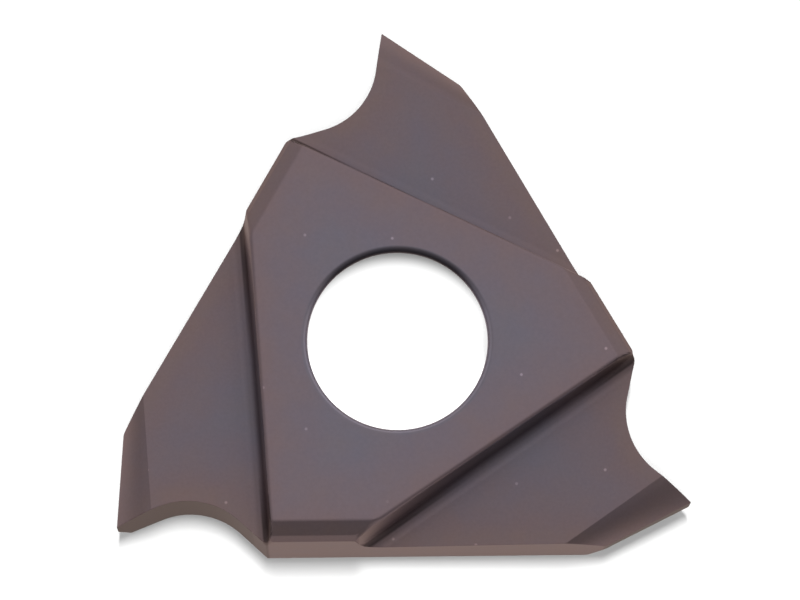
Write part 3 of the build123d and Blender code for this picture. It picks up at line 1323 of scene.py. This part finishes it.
        # painted highlight on the rim's steeper part away from +Y, painted shade towards +Y
        highlit = 1 + (ground.highlit_rim_share - 1) * np.clip((fall - gentle) / (steep - gentle), 0, 1)
        shaded = 1 + (ground.shaded_rim_share - 1) * np.clip(fall / ground.shaded_rim_fall, 0, 1)
        on_rim = hole[..., 2] > sizes.thickness - sizes.hole_rim_radius - HEIGHT_SLACK
        return np.where(on_rim, shaded + (highlit - shaded) * open_side, 1.0)

    def build(self) -> bpy.types.Object:
        """Builds the closed mesh with its normals and marks.

        Returns:
            The new object, linked to the scene.
        """
        sections, outer_count = self._sections()
        normals = np.zeros_like(sections)
        normals[:, outer_count:] = self._hole_normals(sections, outer_count)
        sections[:, :outer_count], normals[:, :outer_count] = self._softened(sections[:, :outer_count])
        turns = self.sizes.turns
        grid = np.concatenate([turned(sections, turn) for turn in turns])
        grid_normals = np.concatenate([turned(normals, turn) for turn in turns])
        depths = np.tile(self._edge_depth(sections, outer_count), (len(turns), 1))
        # painted shade and highlight on the ground faces, times those on the hole's rim
        shares = np.tile(self._painted_light(sections, normals, outer_count), (len(turns), 1))
        shares[:, outer_count:] *= self._rim_highlight_and_shade(grid[:, outer_count:], grid_normals[:, outer_count:])
        marks = {Mark.EDGE_DEPTH: depths, Mark.PAINTED_LIGHT: shares}
        mesh = closed_grid_mesh(NODE + "_ground", grid, grid_normals, marks)
        piece = bpy.data.objects.new(mesh.name, mesh)
        bpy.context.scene.collection.objects.link(piece)
        return piece

    def dress(self, piece: bpy.types.Object) -> None:
        """Gives the piece its coating."""
        piece.data.materials.append(self.coating.material())


@dataclass(frozen=True)
class StripLamp:
    """Narrow strip of light overhead, drawn out from south to north, so that it shades one way only.

    Its ends lie at shares of its height south and north of the hole's axis.
    """

    name: str
    south: float
    north: float
    power: float
    height: float = 0.3
    width: float = 0.008

    def build(self) -> bpy.types.Object:
        """Builds the lamp, which lights the floor and leaves the coating alone.

        Returns:
            The lamp.
        """
        data = bpy.data.lights.new(self.name, "AREA")
        data.shape = "RECTANGLE"
        data.size, data.size_y = self.width, (self.north - self.south) * self.height
        data.energy = self.power
        lamp = bpy.data.objects.new(self.name, data)
        middle = (self.south + self.north) / 2
        lamp.location = (0.0, middle * self.height, self.height)
        lamp.rotation_euler = (-np.arctan(middle), 0.0, 0.0)
        lamp.visible_glossy = False
        bpy.context.scene.collection.objects.link(lamp)
        return lamp


@dataclass(frozen=True)
class Studio:
    """Soft studio round the insert: pale floor, bright sweep above and behind, darker room in front.

    The room's levels go round by azimuth from -X over -Y and back to -X, each ring at the height in
    degrees before it. The camera is shown the floor at other levels than those that light the insert.
    """

    floor_size: float = 0.6
    floor_colour: tuple[float, float, float] = (0.92, 0.90, 0.885)
    floor_share: float = 0.02
    floor_glow: float = 0.82
    shown_share: float = 0.2
    shown_glow: float = 0.13
    # pool of light painted on the floor inside the hole's circle, for the camera
    hole_painted_light: float = 0.72
    hole_painted_light_reach: tuple[float, float] = (2.40e-3, 2.80e-3)
    room: tuple[tuple[float, tuple[float, ...]], ...] = (
        (8.0, (0.52, 0.30, 0.17, 0.20, 0.62, 1.05, 1.12, 0.89, 0.52)),
        (30.0, (0.61, 0.39, 0.26, 0.39, 0.78, 1.12, 1.12, 0.88, 0.61)),
        (52.0, (0.84, 0.69, 0.60, 0.73, 1.00, 1.19, 1.15, 0.98, 0.84)),
        (75.0, (1.17, 1.17)))
    lamps: tuple[StripLamp, ...] = (
        StripLamp("north_strip", 0.0, 0.165, 2.9), StripLamp("south_strip", -0.34, -0.16, 0.78))

    def floor_material(self) -> bpy.types.Material:
        """Builds the floor's paper: matt and glowing, with a pool of light painted on it inside the hole's
        circle.

        Returns:
            The material.
        """
        material = bpy.data.materials.new("floor_paper")
        material.use_nodes = True
        nodes = material.node_tree.nodes
        nodes.remove(nodes["Principled BSDF"])
        graph = NodeGraph(material.node_tree)
        camera = graph.camera_ray()
        warm = tuple(self.floor_share * part for part in self.floor_colour)
        paper = graph.mix(camera, (*warm, 1.0), (*[self.shown_share] * 3, 1.0))
        diffuse = graph.add("ShaderNodeBsdfDiffuse", {"Color": paper})
        # painted pool of light on the floor inside the hole's circle, for the camera
        radius = graph.add("ShaderNodeVectorMath", {0: graph.position()}, operation="LENGTH")
        full, none = self.hole_painted_light_reach
        painted_pool = graph.remap(radius.outputs["Value"], full, none, self.hole_painted_light, 0.0, Ease.SMOOTH)
        shown = graph.math("ADD", painted_pool, self.shown_glow)
        glow = graph.add("ShaderNodeEmission", {
            "Color": graph.mix(camera, (*self.floor_colour, 1.0), WHITE),
            "Strength": graph.remap(camera, 0.0, 1.0, self.floor_glow, shown)})
        both = graph.add("ShaderNodeAddShader", {0: diffuse.outputs[0], 1: glow.outputs[0]})
        graph.feed(nodes["Material Output"].inputs["Surface"], both.outputs[0])
        return material

    def build_floor(self) -> bpy.types.Object:
        """Builds the floor in the plane of the back face.

        Returns:
            The floor.
        """
        half = self.floor_size / 2
        corners = [(-half, -half, 0), (half, -half, 0), (half, half, 0), (-half, half, 0)]
        mesh = bpy.data.meshes.new("floor")
        mesh.from_pydata(corners, [], [(0, 1, 2, 3)])
        mesh.materials.append(self.floor_material())
        floor = bpy.data.objects.new("floor", mesh)
        bpy.context.scene.collection.objects.link(floor)
        return floor

    def build_world(self) -> None:
        """Builds the room: brightness by azimuth and height, plain white for the camera.

        Between two heights the levels blend in proportion, and so they do between two azimuths.
        """
        world = bpy.data.worlds.new("studio")
        bpy.context.scene.world = world
        world.use_nodes = True
        graph = NodeGraph(world.node_tree)
        direction = graph.parts(graph.add("ShaderNodeTexCoord").outputs["Generated"])
        turn = graph.remap(graph.math("ARCTAN2", direction[1], direction[0]), -np.pi, np.pi)
        height = graph.math("ARCSINE", direction[2])
        rings = []
        for _, levels in self.room:
            stops = [(number / (len(levels) - 1), (level,) * 3) for number, level in enumerate(levels)]
            rings.append(graph.ramp(turn, stops))
        room = rings[0]
        for (below, _), (above, _), ring in zip(self.room, self.room[1:], rings[1:]):
            room = graph.mix(graph.remap(height, np.radians(below), np.radians(above)), room, ring)
        shown = graph.mix(graph.camera_ray(), room, WHITE)
        graph.feed(world.node_tree.nodes["Background"].inputs["Color"], shown)


@dataclass(frozen=True)
class PhotoCamera:
    """The photograph's camera, found by fitting the tips, sides, pockets and hole."""

    place: tuple[float, float, float] = (-1.485e-3, -19.220e-3, 102.903e-3)
    right: tuple[float, float, float] = (0.99983, -0.01260, 0.01317)
    up: tuple[float, float, float] = (0.00973, 0.98007, 0.19842)
    lens: float = 191.96
    sensor: float = 36.0
    clip: tuple[float, float] = (1e-3, 10.0)
    half_pixel: float = 0.5 / 800

    def build(self) -> bpy.types.Object:
        """Builds the camera and makes it the scene's.

        Returns:
            The camera.
        """
        data = bpy.data.cameras.new("camera")
        data.sensor_width, data.lens = self.sensor, self.lens
        data.clip_start, data.clip_end = self.clip
        data.shift_x, data.shift_y = -self.half_pixel, self.half_pixel
        camera = bpy.data.objects.new("camera", data)
        bpy.context.scene.collection.objects.link(camera)
        right = Vector(self.right).normalized()
        back = right.cross(Vector(self.up)).normalized()
        turn = Matrix((right, back.cross(right), back)).transposed()
        camera.matrix_world = Matrix.Translation(self.place) @ turn.to_4x4()
        bpy.context.scene.camera = camera
        return camera


def main() -> None:
    """Builds the insert, its studio and the camera."""
    logging.basicConfig(level=logging.INFO, format="%(name)s: %(message)s")
    bpy.context.scene.view_settings.view_transform = "Standard"
    insert = InsertBody(InsertSizes.from_frame())
    piece = insert.build()
    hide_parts(NODE)
    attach(piece, "root")
    insert.dress(piece)
    LOG.info("%s: %d faces", piece.name, len(piece.data.polygons))
    studio = Studio()
    LOG.info("%s: stage", studio.build_floor().name)
    for lamp in studio.lamps:
        LOG.info("%s: lamp", lamp.build().name)
    studio.build_world()
    LOG.info("%s: the photograph's view", PhotoCamera().build().name)


if __name__ == "__main__":
    main()
